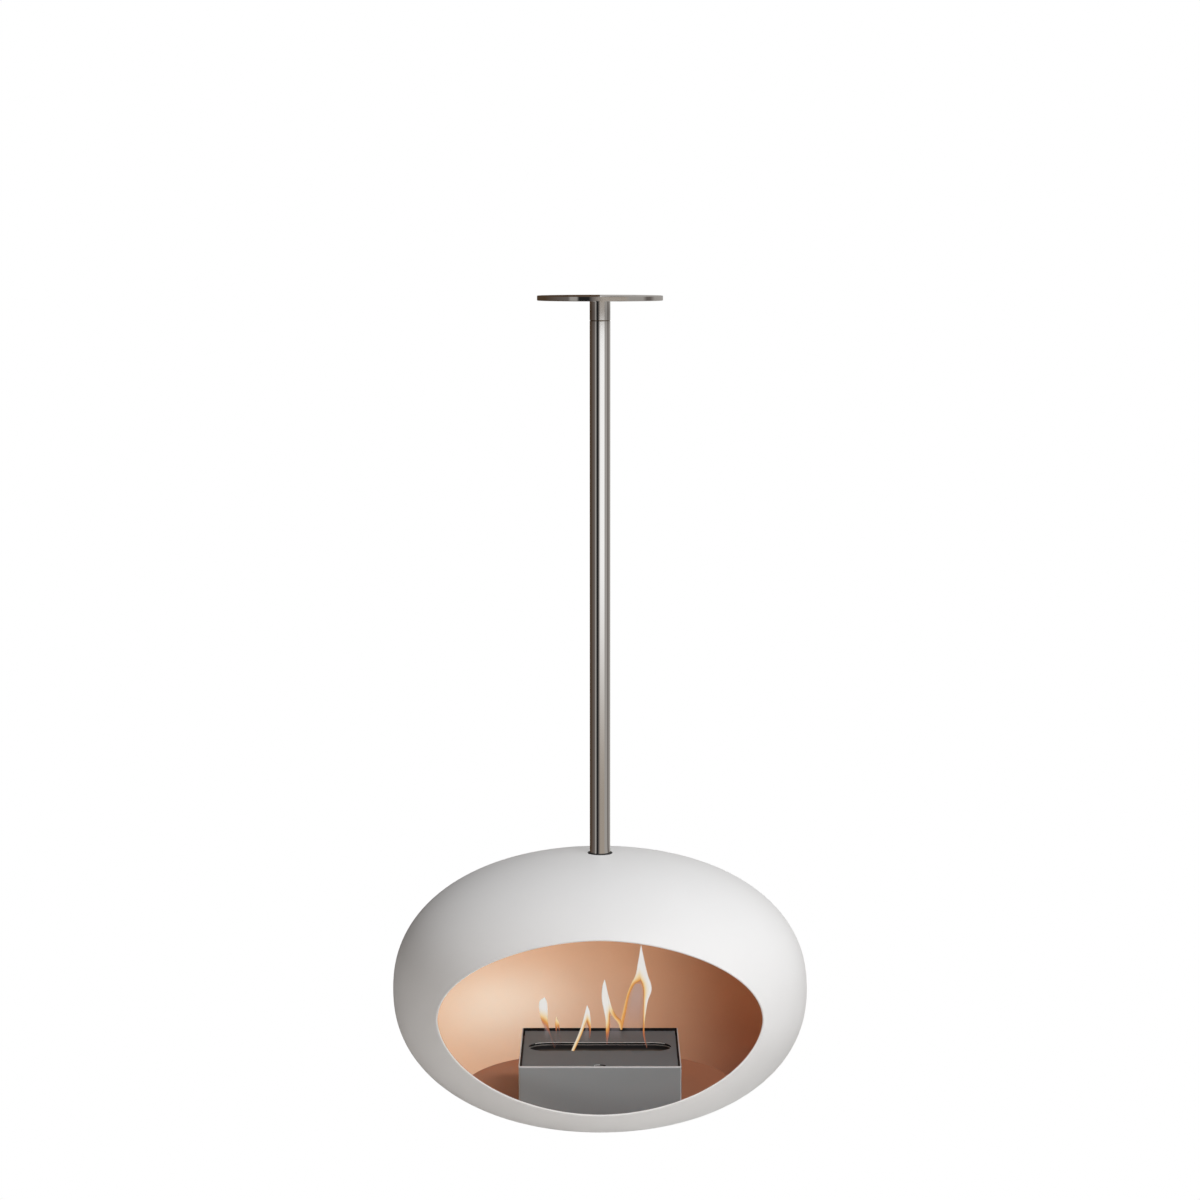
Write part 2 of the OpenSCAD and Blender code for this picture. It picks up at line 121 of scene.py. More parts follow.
class Board:
    """A node tree that is being laid out."""

    def __init__(self, tree: bpy.types.NodeTree) -> None:
        """Starts with an empty tree."""
        self.tree = tree
        tree.nodes.clear()

    def node(self, kind: str, settings: dict | None = None, sockets: dict | None = None) -> Wire:
        """Makes one node.

        Args:
            kind: the node's Blender type.
            settings: the node's own options, set first; "stops" fills a colour ramp.
            sockets: input name or index to a Wire, number or tuple.

        Returns:
            The node's first output.
        """
        made = self.tree.nodes.new(kind)
        for option, value in (settings or {}).items():
            if option == "stops":
                self._fill_ramp(made.color_ramp, value)
            else:
                setattr(made, option, value)
        for key, value in (sockets or {}).items():
            if isinstance(value, Wire):
                self.tree.links.new(value.socket, made.inputs[key])
            else:
                made.inputs[key].default_value = value
        return Wire(self, made.outputs[0]) if len(made.outputs) else Wire(self, None)

    @staticmethod
    def _fill_ramp(ramp: bpy.types.ColorRamp, stops: list[tuple]) -> None:
        """Gives a ramp its stops, each (position, colour or grey)."""
        while len(ramp.elements) < len(stops):
            ramp.elements.new(0.5)
        for element, (position, colour) in zip(ramp.elements, stops):
            element.position = position
            rgb = colour if isinstance(colour, tuple) else (colour,) * 3
            element.color = (*rgb, 1.0)

    def maths(self, operation: str, *values: Value) -> Wire:
        """A Math node on the given values."""
        return self.node("ShaderNodeMath", {"operation": operation}, dict(enumerate(values)))

    def vector(self, operation: str, *values: Value) -> Wire:
        """A Vector Math node on the given values."""
        return self.node("ShaderNodeVectorMath", {"operation": operation}, dict(enumerate(values)))

    def blend(self, share: Value, a: Value, b: Value) -> Wire:
        """Colour a turning into colour b by share."""
        as_rgba = [(*c, 1.0) if isinstance(c, tuple) and len(c) == 3 else c for c in (a, b)]
        sockets = {0: share, 6: as_rgba[0], 7: as_rgba[1]}
        mixed = self.node("ShaderNodeMix", {"data_type": "RGBA"}, sockets)
        return Wire(self, mixed.socket.node.outputs[2])

    def mix(self, share: Value, first: Wire, second: Wire) -> Wire:
        """The first shader turning into the second by share."""
        return self.node("ShaderNodeMixShader", None, {0: share, 1: first, 2: second})

    def ramp(self, at: Value, stops: list[tuple]) -> Wire:
        """A colour ramp read at a value."""
        return self.node("ShaderNodeValToRGB", {"stops": stops}, {0: at})

    def step(self, value: Wire, start: float, end: float) -> Wire:
        """A soft step from 0 at start to 1 at end."""
        sockets = {"Value": value, "From Min": start, "From Max": end}
        return self.node("ShaderNodeMapRange", {"interpolation_type": "SMOOTHSTEP"}, sockets)

    def split(self, at: Wire) -> tuple[Wire, Wire, Wire]:
        """The three parts of a vector."""
        x = self.node("ShaderNodeSeparateXYZ", None, {0: at})
        return x, x.other("Y"), x.other("Z")

    def place(self, stretch: Triple = (1.0, 1.0, 1.0)) -> Wire:
        """The piece's own coordinates in metres, multiplied by stretch."""
        return self.vector("MULTIPLY", self.node("ShaderNodeTexCoord").other("Object"), stretch)

    def noise(self, at: Wire, scale: float, detail: float = 2.0, rough: float = 0.5) -> Wire:
        """Cloud noise from 0 to 1, scale cells to the metre."""
        sockets = {"Vector": at, "Scale": scale, "Detail": detail, "Roughness": rough}
        return self.node("ShaderNodeTexNoise", None, sockets)

    def bump(self, height: Wire, strength: float, depth: float) -> Wire:
        """A normal from a height of 0 to 1 that stands for depth metres."""
        sockets = {"Height": height, "Strength": strength, "Distance": depth}
        return self.node("ShaderNodeBump", None, sockets)


def blank_material(name: str) -> tuple[bpy.types.Material, Board]:
    """A new material and its emptied node tree."""
    made = bpy.data.materials.new(name)
    made.use_nodes = True
    return made, Board(made.node_tree)


# ---------- finishes ----------


@dataclass(frozen=True)
class Finish:
    """A surface finish; each kind below says what its sockets get."""

    name: str
    colour: Colour
    roughness: float

    def sockets(self, board: Board) -> dict[str, Value]:
        """The Principled shader's sockets; a plain coat unless a kind says more."""
        return {"Base Color": (*self.colour, 1.0), "Roughness": self.roughness}

    def material(self) -> bpy.types.Material:
        """Makes the Blender material.

        Returns:
            A material with one Principled shader fed by sockets().
        """
        made, board = blank_material(self.name)
        shader = board.node("ShaderNodeBsdfPrincipled", None, self.sockets(board))
        board.node("ShaderNodeOutputMaterial", None, {"Surface": shader})
        return made


@dataclass(frozen=True)
class PowderCoat(Finish):
    """Satin powder coat: a faint orange peel and hardly visible clouds in the tone."""

    peel: float = 900.0
    peel_depth: float = 0.00006
    clouds: float = 0.02

    def sockets(self, board: Board) -> dict[str, Value]:
        """Tone by low clouds, sheen and relief by the peel's noise."""
        at = board.place()
        cloud = board.noise(at, 9.0, 3.0)
        peel = board.noise(at, self.peel, 3.0, 0.6)
        darker = tuple(c * (1.0 - 2.0 * self.clouds) for c in self.colour)
        return {
            "Base Color": board.blend(cloud, darker, self.colour),
            "Roughness": self.roughness + (peel - 0.5) * 0.10,
            "Normal": board.bump(peel, 0.35, self.peel_depth),
        }


@dataclass(frozen=True)
class BoxPaint(PowderCoat):
    """Powder coat on a sheet box: black and matt inside as painted shade, pale on the folded edges as a
    painted highlight.
    """

    # The black is painted shade inside the box and on its back rim; the pale tone is a painted highlight
    # on the folded edges.
    black: Colour = (0.006, 0.006, 0.006)
    pale: Colour = (0.40, 0.405, 0.41)
    wall: float = 0.0021
    hem: float = 0.0041
    fold: float = 0.0016
    slack: float = 0.0002
    floor: float = 0.001

    def inside(self, board: Board) -> Wire:
        """A mask of painted shade, 1 between the box's walls and on the back wall's rim.

        It multiplies steps on the piece's own coordinates: nearer to the middle plane than the
        side walls, behind the front hem, before the back wall's outside, over the floor, and
        below the rim, which counts only before the back wall.
        """
        low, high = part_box("burner_casing")
        x, y, z = board.split(board.place())
        sides = abs(x) < high.x - self.wall + self.slack
        front = y > low.y + self.hem - self.slack
        back = y < high.y - self.slack
        rim = (z < high.z - self.slack) | (y > high.y - self.wall - self.slack)
        return sides * front * back * rim * (z > low.z + self.floor)

    def painted_fold_highlight(self, board: Board) -> Wire:
        """A painted highlight mask, 1 on the front hem's top, the side rims and the front corners."""
        low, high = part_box("burner_casing")
        x, y, z = board.split(board.place())
        side = abs(x) > high.x - self.fold
        top = z > high.z - self.fold
        return (top * ((y < low.y + self.hem) | side)) | (side * (y < low.y + self.fold))

    def sockets(self, board: Board) -> dict[str, Value]:
        """The powder coat's sockets, with a painted highlight on the folded edges and painted shade
        inside.
        """
        coat = super().sockets(board)
        mask = self.inside(board)
        # Pale folded edges: a painted highlight.
        outside = board.blend(self.painted_fold_highlight(board), coat["Base Color"], self.pale)
        # Black inside the box and on the back rim: painted shade.
        coat["Base Color"] = board.blend(mask, outside, self.black)
        coat["Roughness"] = coat["Roughness"] + mask * 0.3
        coat["Specular IOR Level"] = 0.2
        return coat


@dataclass(frozen=True)
class CutPaint(PowderCoat):
    """Matt powder coat on the cover, black below its top as painted shade.

    The slot's far edge and the finger hole's left half are pale for a little way down, as painted
    highlights.
    """

    # The pale cut-edge tone is a painted highlight; the black below the top is painted shade.
    painted_highlight_tone: Colour = (0.62, 0.61, 0.60)
    black: Colour = (0.015, 0.015, 0.015)
    far: float = -0.0245
    near: float = -0.15
    skin: float = 0.0002
    painted_highlight_depth: float = 0.0013

    def sockets(self, board: Board) -> dict[str, Value]:
        """The powder coat's sockets with hardly any gloss, and tones of painted shade and painted
        highlight by the depth below the top.
        """
        coat = super().sockets(board)
        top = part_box("cover_plate")[1].z
        x, y, z = board.split(board.place())
        # Painted highlight only on the slot's far edge and the finger hole's left half; elsewhere below
        # the top, painted shade.
        lit = (y > self.far) | ((y < self.near) * (x < 0.0))
        edge = board.blend(lit * (z > top - self.painted_highlight_depth), self.black, self.painted_highlight_tone)
        coat["Base Color"] = board.blend(z < top - self.skin, coat["Base Color"], edge)
        coat["Specular IOR Level"] = 0.1
        return coat


@dataclass(frozen=True)
class MetallicPaint(Finish):
    """Metal-effect paint: fine flakes that differ in tone and tilt, under a satin clear coat."""

    metal: float = 0.55
    gleam: float = 1.5
    flakes: float = 1400.0
    spread: float = 0.06

    def sockets(self, board: Board) -> dict[str, Value]:
        """Tone by flake cells and low clouds, and a fine relief."""
        at = board.place()
        flake = board.node("ShaderNodeTexVoronoi", None, {"Vector": at, "Scale": self.flakes})
        cell = board.node("ShaderNodeSeparateColor", None, {0: flake.other("Color")})
        cloud = board.noise(at, 14.0, 4.0)
        tone = cell * 0.35 + cloud * 0.65
        low = tuple(c * (1.0 - self.spread) for c in self.colour)
        high = tuple(min(1.0, c * (1.0 + self.spread)) for c in self.colour)
        return {
            "Base Color": board.blend(tone, low, high),
            "Metallic": self.metal,
            "IOR": self.gleam,
            "Roughness": self.roughness + (cell - 0.5) * 0.08,
            "Normal": board.bump(cell, 0.12, 0.00005),
        }


@dataclass(frozen=True)
class DrawnSteel(Finish):
    """Polished stainless steel with fine lines drawn along one axis."""

    lines: Triple = (900.0, 900.0, 5.0)
    depth: float = 0.0000004

    def sockets(self, board: Board) -> dict[str, Value]:
        """Tone, sheen and relief by noise that is stretched along the lines."""
        line = board.noise(board.place(self.lines), 1.0, 3.0, 0.7)
        haze = board.noise(board.place(), 18.0, 3.0)
        dull = tuple(c * 0.965 for c in self.colour)
        return {
            "Base Color": board.blend(line, dull, self.colour),
            "Metallic": 1.0,
            "Roughness": self.roughness + (haze - 0.5) * 0.02,
            "Normal": board.bump(line, 0.1, self.depth),
        }


@dataclass(frozen=True)
class TurnedSteel(Finish):
    """Steel from the lathe: fine rings round the pole's axis."""

    rings: float = 2600.0
    tint: Colour = (1.0, 1.0, 1.0)

    def sockets(self, board: Board) -> dict[str, Value]:
        """Rings by a wave on the distance from the axis plus the height."""
        at = board.place()
        x, y, z = board.split(at)
        flat = board.maths("SQRT", x * x + y * y)
        ring = board.maths("SINE", (flat + z) * self.rings)
        stain = board.noise(at, 45.0, 4.0)
        worn = tuple(c * 0.78 * t for c, t in zip(self.colour, self.tint))
        return {
            "Base Color": board.blend(stain, worn, self.colour),
            "Metallic": 1.0,
            "Roughness": self.roughness + (stain - 0.5) * 0.14,
            "Normal": board.bump(ring * 0.5 + 0.5, 0.2, 0.00001),
        }


@dataclass(frozen=True)
class PlatedSteel(Finish):
    """Zinc plate: a grey metal with pale and blue-yellow blotches."""

    def sockets(self, board: Board) -> dict[str, Value]:
        """Blotches in tone and sheen by two noises."""
        at = board.place()
        blotch = board.noise(at, 160.0, 4.0, 0.6)
        grain = board.noise(at, 2400.0, 2.0)
        pale = tuple(min(1.0, c * 1.25) for c in self.colour)
        straw = (self.colour[0] * 1.05, self.colour[1] * 0.98, self.colour[2] * 0.80)
        return {
            "Base Color": board.blend(blotch, straw, pale),
            "Metallic": 1.0,
            "Roughness": self.roughness + (blotch - 0.5) * 0.2,
            "Normal": board.bump(grain, 0.2, 0.00003),
        }


@dataclass(frozen=True)
class RimShadedSteel(Finish):
    """Brushed sheet steel with a bright rolled rim over a dark band of painted shade."""

    # How deep under the rim the painted shade reaches.
    reach: float = 0.012

    def sockets(self, board: Board) -> dict[str, Value]:
        """Painted shade by the depth under the tank's rim, with the brush lines along X."""
        at = board.place()
        height = board.split(at)[2]
        waver = board.noise(at, 30.0, 3.0) * 0.25
        depth = (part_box("fuel_tank")[1].z - height) / self.reach + waver - 0.12
        # A bright rim, then a near-black band of painted shade, then the steel's own tone deeper down.
        tint = board.ramp(depth, [
            (0.0, (0.40, 0.38, 0.36)), (0.07, (0.34, 0.31, 0.29)), (0.12, (0.02, 0.018, 0.02)),
            (0.55, (0.03, 0.028, 0.03)), (0.80, (0.14, 0.12, 0.10)), (1.0, self.colour),
        ])
        line = board.noise(board.place((8.0, 900.0, 900.0)), 1.0, 3.0, 0.7)
        return {
            "Base Color": board.blend(line * 0.25, tint, (0.05, 0.05, 0.05)),
            "Metallic": 0.55,
            "Roughness": self.roughness + (line - 0.5) * 0.12,
            "Normal": board.bump(line, 0.25, 0.00001),
        }


@dataclass(frozen=True)
class Rubber(Finish):
    """Matt black rubber with a fine moulded grain."""

    def sockets(self, board: Board) -> dict[str, Value]:
        """Grain in tone and relief by one noise."""
        grain = board.noise(board.place(), 1500.0, 3.0)
        dusty = tuple(c * 1.6 + 0.004 for c in self.colour)
        return {
            "Base Color": board.blend(grain, self.colour, dusty),
            "Roughness": self.roughness + (grain - 0.5) * 0.12,
            "Normal": board.bump(grain, 0.4, 0.00008),
        }


@dataclass(frozen=True)
class FibreWool(Finish):
    """Pressed ceramic wool, its dark grey a painted shade deep in the slot, darkened by soot in patches.
    """

    soot: Colour = (0.018, 0.016, 0.015)

    def sockets(self, board: Board) -> dict[str, Value]:
        """Fibres by noise that is stretched along X, soot by low clouds."""
        strand = board.noise(board.place((160.0, 900.0, 900.0)), 1.0, 6.0, 0.75)
        patch = board.noise(board.place(), 35.0, 4.0)
        burnt = board.ramp(patch, [(0.35, self.soot), (0.65, self.colour)])
        return {
            "Base Color": board.blend(strand * 0.6, burnt, (0.16, 0.15, 0.14)),
            "Roughness": 0.85 + strand * 0.15,
            "Normal": board.bump(strand, 0.9, 0.0012),
        }


@dataclass(frozen=True)
class Glow(Finish):
    """Gas that gives light and is partly clear; its UV map holds u across it from 0 to 1."""

    def across(self, board: Board) -> tuple[Wire, Wire]:
        """The nearness to the middle, 1 there and 0 at both edges, and the UV map's v."""
        u, v, _ = board.split(board.node("ShaderNodeTexCoord").other("UV"))
        return 1.0 - abs(u * 2.0 - 1.0), v

    def lit(self, colour: Value, cover: Wire) -> dict[str, Value]:
        """The sockets of a glow of a colour and a cover."""
        return {
            "Base Color": (0.0, 0.0, 0.0, 1.0),
            "Roughness": self.roughness,
            "Specular IOR Level": 0.0,
            "Emission Color": colour,
            "Emission Strength": 1.0,
            "Alpha": cover,
        }


@dataclass(frozen=True)
class Flame(Glow):
    """Burning gas: clear lilac where it is cool, then red, orange, yellow and white.

    The UV map's v is the heat.
    """

    def sockets(self, board: Board) -> dict[str, Value]:
        """Colour and cover by the heat, and clear at both edges."""
        middle, v = self.across(board)
        waver = board.noise(board.place((90.0, 90.0, 60.0)), 1.0, 2.0)
        heat = v + (waver - 0.5) * 0.10
        glow = board.ramp(heat, [
            (0.0, (0.22, 0.17, 0.19)), (0.25, (0.50, 0.15, 0.06)), (0.45, (0.70, 0.32, 0.08)),
            (0.65, (0.80, 0.60, 0.32)), (1.0, (0.78, 0.76, 0.73)),
        ])
        solid = board.ramp(heat, [
            (0.0, 0.02), (0.10, 0.12), (0.24, 0.55), (0.36, 0.85), (0.55, 0.96), (1.0, 0.98),
        ])
        edge = board.ramp(middle, [(0.0, 0.0), (0.12, 0.6), (0.34, 1.0)])
        return self.lit(glow, solid * edge)


@dataclass(frozen=True)
class Haze(Glow):
    """The nearly clear hot gas between the legs of a flame; the UV map's v is its cover."""

    def sockets(self, board: Board) -> dict[str, Value]:
        """Cover by v and a soft noise, and clear at the edges."""
        middle, v = self.across(board)
        wisp = board.noise(board.place((40.0, 40.0, 12.0)), 1.0, 2.0)
        cover = board.ramp(middle, [(0.0, 0.0), (0.5, 1.0)]) * (0.7 + wisp * 0.5) * v
        return self.lit((*self.colour, 1.0), cover)


class Slot(Enum):
    """The record's material slots, each with its finish."""

    BRUSHED_STAINLESS = DrawnSteel("polished_stainless", (0.80, 0.79, 0.775), 0.045)
    MACHINED_STEEL = TurnedSteel("machined_steel", (0.58, 0.57, 0.56), 0.30)
    BEARING_STEEL = TurnedSteel("ground_bearing_steel", (0.74, 0.74, 0.75), 0.12, rings=4000.0)
    ZINC_STEEL = PlatedSteel("zinc_plated_steel", (0.50, 0.50, 0.48), 0.36)
    # The bronze's very dark tone is partly painted shade, so the recessed seam washer reads as a dark
    # line.
    BRONZE = TurnedSteel("shade_darkened_bronze", (0.16, 0.11, 0.06), 0.45, tint=(1.0, 0.95, 0.9))
    BLACK_RUBBER = Rubber("black_rubber", (0.012, 0.012, 0.012), 0.72)
    WHITE_PAINT = PowderCoat("white_powder_coat", (0.86, 0.859, 0.862), 0.42)
    COPPER_PAINT = MetallicPaint("copper_paint", (0.55, 0.265, 0.14), 0.6, metal=0.12, gleam=1.7)
    HEARTH_PAINT = MetallicPaint("hearth_paint", (0.275, 0.120, 0.069), 0.6, metal=0.1)
    BURNER_PAINT = BoxPaint("burner_grey_coat", (0.215, 0.228, 0.235), 0.36, peel=1300.0, clouds=0.03)
    COVER_PAINT = CutPaint("cover_grey_coat", (0.118, 0.134, 0.143), 0.60, peel=1300.0, clouds=0.04)
    TANK_STEEL = RimShadedSteel("tank_steel", (0.46, 0.44, 0.41), 0.45)
    # The wool's dark grey is painted shade of the deep slot.
    CERAMIC_FIBRE = FibreWool("ceramic_wool", (0.11, 0.10, 0.095), 0.95)

    @property
    def label(self) -> str:
        """The slot's name in the record."""
        return self.name.lower()


class Workshop:
    """Keeps each slot's material, made once, and puts it on pieces and on the part's own nodes."""

    def __init__(self) -> None:
        """Nothing is made yet."""
        self.made: dict[Slot, bpy.types.Material] = {}

    def material(self, slot: Slot) -> bpy.types.Material:
        """The slot's material."""
        if slot not in self.made:
            self.made[slot] = slot.value.material()
        return self.made[slot]

    def dress_nodes(self, slot: Slot, *names: str) -> None:
        """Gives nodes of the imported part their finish.

        Args:
            slot: the slot of the finish.
            names: the nodes.
        """
        for name in names:
            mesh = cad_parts[name].data
            mesh.materials.clear()
            mesh.materials.append(self.material(slot))
            log.info("node %s gets %s", name, slot.label)

    def dress_piece(self, piece: bpy.types.Object, slot: Slot, body: str, *replaced: str) -> None:
        """Finishes a new piece.

        Args:
            piece: the piece.
            slot: the slot of its finish.
            body: the body that it rides on.
            replaced: the nodes that it stands for.
        """
        piece.data.materials.append(self.material(slot))
        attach(piece, body)
        if replaced:
            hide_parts(*replaced)
        log.info("piece %s rides on %s, %d faces", piece.name, body, len(piece.data.polygons))


# ---------- surfaces ----------


def signed_power(base: np.ndarray, power: float) -> np.ndarray:
    """The power of the size of base, with base's sign."""
    return np.sign(base) * np.abs(base) ** power


def ring_faces(rows: int, columns: int) -> np.ndarray:
    """Corner numbers of the four-sided faces between rings of points.

    Face (i, j) joins points j and j + 1 of ring i to those of ring i + 1, and the last column
    joins the first.

    Args:
        rows: number of rings.
        columns: points in each ring.

    Returns:
        An array of (rows - 1) * columns faces with four corners each.
    """
    i, j = np.meshgrid(np.arange(rows - 1), np.arange(columns), indexing="ij")
    right = (j + 1) % columns
    corners = [i * columns + j, i * columns + right, (i + 1) * columns + right, (i + 1) * columns + j]
    return np.stack(corners, axis=-1).reshape(-1, 4)


def closed_skin(
    name: str, rings: np.ndarray, first: np.ndarray, last: np.ndarray, uv: np.ndarray | None = None
) -> bpy.types.Object:
    """A closed mesh from a stack of rings with a point at each end.

    Neighbouring rings are joined by four-sided faces and each end by a fan of triangles. If the
    volume under the faces comes out negative, all faces are turned round, so they point out.

    Args:
        name: name of the piece.
        rings: points, rows by columns by 3.
        first: the point that closes the first ring.
        last: the point that closes the last ring.
        uv: for each ring point its (u, v), rows by columns by 2, or None.

    Returns:
        The object, at the origin.
    """
    rows, columns = rings.shape[:2]
    points = np.vstack([rings.reshape(-1, 3), first, last])
    quads = ring_faces(rows, columns)
    around = np.arange(columns)
    after = (around + 1) % columns
    tip_a, tip_b = rows * columns, rows * columns + 1
    low = np.stack([np.full(columns, tip_a), after, around], axis=-1)
    top = (rows - 1) * columns
    high = np.stack([np.full(columns, tip_b), top + around, top + after], axis=-1)
    a, b, c, d = (points[quads[:, k]] for k in range(4))
    volume = np.einsum("ij,ij->", a, np.cross(b, c)) + np.einsum("ij,ij->", a, np.cross(c, d))
    if volume < 0.0:
        quads, low, high = quads[:, ::-1], low[:, ::-1], high[:, ::-1]
    mesh = bpy.data.meshes.new(name)
    mesh.from_pydata(points.tolist(), [], quads.tolist() + low.tolist() + high.tolist())
    mesh.polygons.foreach_set("use_smooth", np.ones(len(mesh.polygons), bool))
    if uv is not None:
        flat = np.vstack([uv.reshape(-1, 2), [[0.5, 0.0]], [[0.5, 1.0]]])
        corner = np.zeros(len(mesh.loops), np.int32)
        mesh.loops.foreach_get("vertex_index", corner)
        layer = mesh.uv_layers.new(name="UVMap")
        layer.data.foreach_set("uv", flat[corner].astype(np.float32).ravel())
    mesh.update()
    piece = bpy.data.objects.new(name, mesh)
    bpy.context.scene.collection.objects.link(piece)
    return piece


def turned(name: str, profile: np.ndarray, columns: int) -> bpy.types.Object:
    """A solid of revolution about the upright axis.

    Each profile point (r, z) is carried round as (r cos t, r sin t, z). The profile starts and
    ends next to the axis, where a fan closes it.

    Args:
        name: name of the piece.
        profile: points (r, z), none on the axis.
        columns: points round the axis.

    Returns:
        The closed solid.
    """
    t = np.linspace(0.0, 2.0 * math.pi, columns, endpoint=False)
    r, z = profile[:, :1], profile[:, 1:]
    rings = np.stack(np.broadcast_arrays(r * np.cos(t), r * np.sin(t), z), axis=-1)
    ends = [np.array([0.0, 0.0, profile[k, 1]]) for k in (0, -1)]
    return closed_skin(name, rings, ends[0], ends[1])


def round_bar(name: str, node: str, bays: int, broken_top: bool) -> bpy.types.Object:
    """A round bar that fills a node's box, with a broken lower edge.

    The profile runs from near the axis out along the lower end, up the side and in again. Rings
    close to each edge keep it crisp, and edges that bend by over 30 degrees shade as sharp.

    Args:
        name: name of the piece.
        node: the node that gives the radius and the two heights.
        bays: lengths that the side is divided into.
        broken_top: whether the upper edge is broken too.

    Returns:
        The closed bar.
    """
    low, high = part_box(node)
    r, b = high.x, EDGE_BREAK
    side = [(r, low.z + (high.z - low.z) * k / bays) for k in range(1, bays)]
    top = [(r, high.z - b), (r - b, high.z)] if broken_top else [(r, high.z)]
    foot = [(r / 2.0, low.z), (r - b, low.z), (r, low.z + b), (r, low.z + 3.0 * b)]
    profile = np.array([*foot, *side, (r, high.z - 3.0 * b), *top, (r / 2.0, high.z)])
    piece = turned(name, profile, BAR_COLUMNS)
    piece.data.set_sharp_from_angle(angle=math.radians(30.0))
    return piece


# ---------- the bowl ----------


@dataclass
class Bowl:
    """The hanging bowl: white outside and lip, copper-toned inside, with its hearth floor."""

    shop: Workshop
    fullness: float = 2.21
    mouth_half_width: float = 0.2615
    mouth_half_height: float = 0.143
    mouth_fullness: float = 1.88
    mouth_drop: float = 0.0042
    wall: float = 0.003
    shell: float = 0.002
    edge_round: float = 0.0005
    hem: float = 0.0009
    seam: float = 0.0002
    overlap: float = 0.0001
    air: float = 0.00005
    half_height: float = 0.225
    columns: int = 360
    rows: int = 96
    hidden_rows: int = 24
    crowding: float = 1.35
    nudge: float = 1e-4
    half_width: float = field(init=False)
    middle: float = field(init=False)

    def __post_init__(self) -> None:
        """Takes the width and the height of the middle from the shell's box."""
        low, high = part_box("outer_shell")
        self.half_width = high.y
        self.middle = low.z + self.half_height

    def edge_angles(self) -> tuple[np.ndarray, np.ndarray]:
        """Directions from the bowl's middle to the mouth's outline.

        The outline is the oval |x/a|^n + |z/c|^n = 1 a little under the middle, carried straight
        back to the front of the bowl. The bearing is the angle of (x, z), the opening is the
        angle away from -Y.

        Returns:
            Bearing and opening, one value for each column.
        """
        t = np.linspace(0.0, 2.0 * math.pi, self.columns, endpoint=False)
        x = self.mouth_half_width * signed_power(np.cos(t), 2.0 / self.mouth_fullness)
        z = self.mouth_half_height * signed_power(np.sin(t), 2.0 / self.mouth_fullness) - self.mouth_drop
        level = (1.0 - np.abs(z / self.half_height) ** self.fullness) ** (1.0 / self.fullness)
        y = -np.sqrt((self.half_width * level) ** 2 - x**2)
        return np.arctan2(z, x), np.arctan2(np.hypot(x, z), -y)

    def skin_points(self, bearing: np.ndarray, opening: np.ndarray) -> np.ndarray:
        """Points of the outer surface in given directions.

        The direction (sin o cos b, -cos o, sin o sin b) is stretched until the sum of
        (distance from the axis / half width)^n and (height / half height)^n is 1.

        Args:
            bearing: angle about Y.
            opening: angle away from -Y.

        Returns:
            Points with the bowl's middle at the origin.
        """
        aside = np.sin(opening)
        way = np.stack([aside * np.cos(bearing), -np.cos(opening), aside * np.sin(bearing)], axis=-1)
        flat = np.hypot(way[..., 0], way[..., 1]) / self.half_width
        tall = np.abs(way[..., 2]) / self.half_height
        reach = (flat**self.fullness + tall**self.fullness) ** (-1.0 / self.fullness)
        return way * reach[..., None]

    def skin_normals(self, points: np.ndarray) -> np.ndarray:
        """Outward normals: the slope of the bowl's equation at each point, made one long."""
        flat = np.maximum(np.hypot(points[..., 0], points[..., 1]), 1e-9)
        push = (flat / self.half_width) ** (self.fullness - 1.0) / self.half_width / flat
        lift = signed_power(points[..., 2] / self.half_height, self.fullness - 1.0) / self.half_height
        slope = np.stack([push * points[..., 0], push * points[..., 1], lift], axis=-1)
        return slope / np.linalg.norm(slope, axis=-1, keepdims=True)

    def rows_from(self, start: float, count: int) -> tuple[np.ndarray, np.ndarray]:
        """Rings of outer-surface points from a distance off the mouth's edge to the back.

        The opening grows from the edge's to half a turn by a share that rises as a power of the
        ring's number, so rings lie closer at the edge.

        Args:
            start: distance of the first ring from the edge.
            count: number of rings.

        Returns:
            Points and normals, rings by columns by 3, without the back's own point.
        """
        bearing, edge = self.edge_angles()
        near = self.skin_points(bearing, edge)
        further = self.skin_points(bearing, edge + self.nudge)
        first = edge + start * self.nudge / np.linalg.norm(further - near, axis=-1)
        share = (np.arange(count) / count) ** self.crowding
        opening = first + (math.pi - first) * share[:, None]
        points = self.skin_points(np.broadcast_to(bearing, opening.shape), opening)
        return points, self.skin_normals(points)

    def lip(self, depth: float) -> np.ndarray:
        """Rings round the cut edge: a small round, a flat band square to the wall, a round.

        In the plane of the outward normal N and the direction T away from the mouth, the first
        round is the quarter circle T = r + r cos f, N = r sin f - r for f from 90 to 180
        degrees, and the second is the same upside down at the depth of the wall.

        Args:
            depth: thickness that the lip covers.

        Returns:
            Points, 8 rings by columns by 3.
        """
        bearing, edge = self.edge_angles()
        base = self.skin_points(bearing, edge)
        out = self.skin_normals(base)
        away = self.skin_points(bearing, edge + self.nudge) - base
        away -= np.sum(away * out, axis=-1, keepdims=True) * out
        away /= np.linalg.norm(away, axis=-1, keepdims=True)
        f = np.radians(np.array([90.0, 120.0, 150.0, 180.0]))
        r = self.edge_round
        side = np.concatenate([r + r * np.cos(f), (r + r * np.cos(f))[::-1]])
        rise = np.concatenate([r * np.sin(f) - r, (r - r * np.sin(f) - depth)[::-1]])
        return base + side[:, None, None] * away + rise[:, None, None] * out

